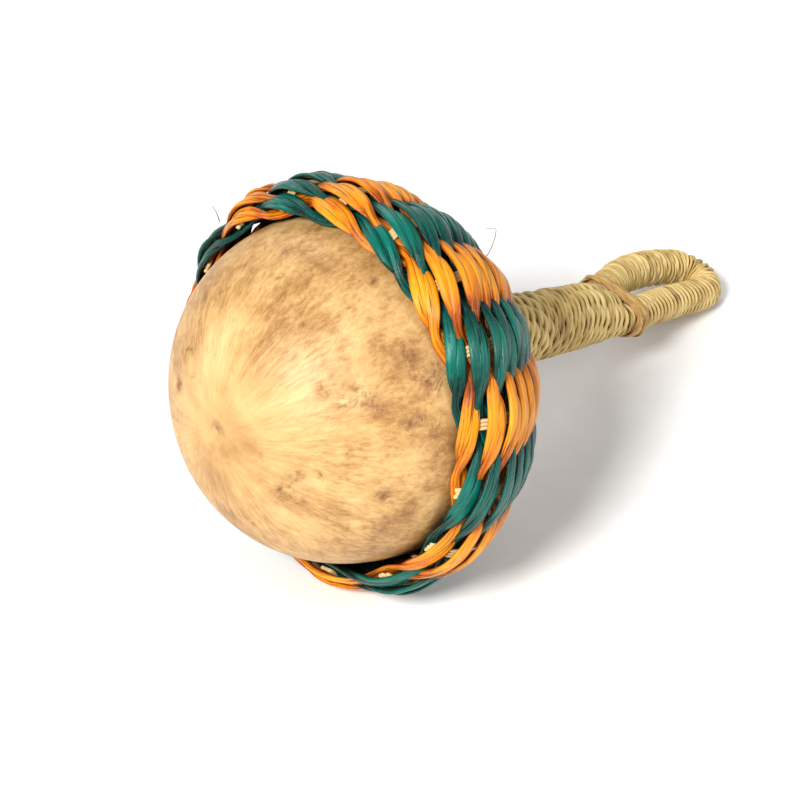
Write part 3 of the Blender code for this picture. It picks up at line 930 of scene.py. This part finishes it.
def stray_fibre(name, knots, radius, look):
    """A thin fibre through the knots that gets thinner towards its free end."""
    dense, _ = smooth_profile([tuple(knot) for knot in np.array(knots) * MM], 10)
    place = place_points(Matrix.Translation(HEAD.translation), dense)
    heading = unit(np.gradient(place, axis=0))
    wide = unit(np.cross(heading, np.array([0.3, 0.5, 0.8])))
    thin = np.cross(heading, wide)
    taper = radius * np.linspace(1.0, 0.5, len(place))
    bundle = Bundle()
    bundle.sweep(place, wide, thin, taper, taper, np.full(len(place), 0.3), 6)
    return bundle.build(name, look)


def build_stray_fibres(dark, green):
    """One long thin fibre that stands up behind the rim, and a short dyed one at the rim's far side."""
    stand_for(stray_fibre("stray_fibre", LONG_FIBRE, 0.14 * MM, dark), "raffia")
    stand_for(stray_fibre("stray_green_end", SHORT_FIBRE, 0.16 * MM, green), "green_straw")


def dress_loop_core(look):
    """The loop's core keeps its CAD shape, with the canes' finish on it."""
    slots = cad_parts["loop_core"].data.materials
    slots.clear()
    slots.append(look)


# ---------------------------------------------------------------------------------------------------
# Stage
# ---------------------------------------------------------------------------------------------------

CAMERA_FROM_RIM = Vector((-368.6, -370.1, 387.5)) * MM
CAMERA_PITCH = math.radians(53.32)
CAMERA_HEADING = math.radians(-47.33)
CAMERA_LENS = 105.1
LIGHTS_AIM = Vector((0.0, 0.0, 0.05))


def area_light(name, place, size, power, colour=(1.0, 1.0, 1.0)):
    """A round soft light that faces the rattle."""
    light = bpy.data.lights.new(name, "AREA")
    light.shape = "DISK"
    light.size = size
    light.energy = power
    light.color = colour
    lamp = bpy.data.objects.new(name, light)
    lamp.location = place
    lamp.rotation_euler = (LIGHTS_AIM - Vector(place)).to_track_quat("-Z", "Y").to_euler()
    bpy.context.scene.collection.objects.link(lamp)


def build_stage():
    """Pale floor, camera, three soft lights and an even white surround."""
    start_clean()
    bpy.ops.mesh.primitive_plane_add(size=6.0, location=(0.0, 0.0, 0.0))
    floor = bpy.context.object
    floor.name = "floor"
    floor.data.materials.append(floor_finish())

    camera = bpy.data.objects.new("camera", bpy.data.cameras.new("camera"))
    camera.location = HEAD.translation + CAMERA_FROM_RIM
    camera.rotation_euler = (CAMERA_PITCH, 0.0, CAMERA_HEADING)
    camera.data.lens = CAMERA_LENS
    camera.data.sensor_width = 36.0
    camera.data.clip_start = 0.01
    bpy.context.scene.collection.objects.link(camera)
    bpy.context.scene.camera = camera

    area_light("key", (-1.6, -0.35, 1.45), 0.6, 60.0, (1.0, 0.98, 0.95))
    area_light("fill", (0.4, -1.5, 1.1), 1.2, 10.0, (0.97, 0.98, 1.0))
    area_light("back", (0.9, 1.3, 1.2), 1.2, 9.0)

    world = bpy.data.worlds.new("studio")
    world.use_nodes = True
    surround = world.node_tree.nodes["Background"]
    surround.inputs["Color"].default_value = (1.0, 1.0, 1.0, 1.0)
    surround.inputs["Strength"].default_value = 0.40
    bpy.context.scene.world = world
    bpy.context.scene.view_settings.view_transform = "Standard"


# Deep, body and bright colours of each fibre
ORANGE = ((0.38, 0.060, 0.002), (0.76, 0.235, 0.004), (0.90, 0.400, 0.012))
GREEN = ((0.0, 0.018, 0.015), (0.0, 0.088, 0.066), (0.0, 0.185, 0.135))
RAFFIA = ((0.13, 0.060, 0.012), (0.53, 0.365, 0.115), (0.80, 0.63, 0.29))
LASHING = ((0.20, 0.065, 0.010), (0.52, 0.315, 0.088), (0.78, 0.60, 0.26))
STRAY = ((0.05, 0.03, 0.02), (0.16, 0.10, 0.06), (0.3, 0.2, 0.12))

orange = straw_finish("orange_dyed_straw", *ORANGE, 0.34)
green = straw_finish("green_dyed_straw", *GREEN, 0.24)
raffia = raffia_finish("raffia_cord", *RAFFIA)
lashing = raffia_finish("lashing_cord", *LASHING)
stray = raffia_finish("stray_fibre", *STRAY)
cane = cane_finish("split_cane")

build_stage()
build_gourd(gourd_finish())
build_weft(orange, green)
build_stakes(cane)
build_handle_canes(cane)
build_handle_wrap(raffia)
build_loop_wrap(raffia)
build_lashing(lashing)
build_stray_fibres(stray, green)
build_seeds(seed_finish())
dress_loop_core(cane)
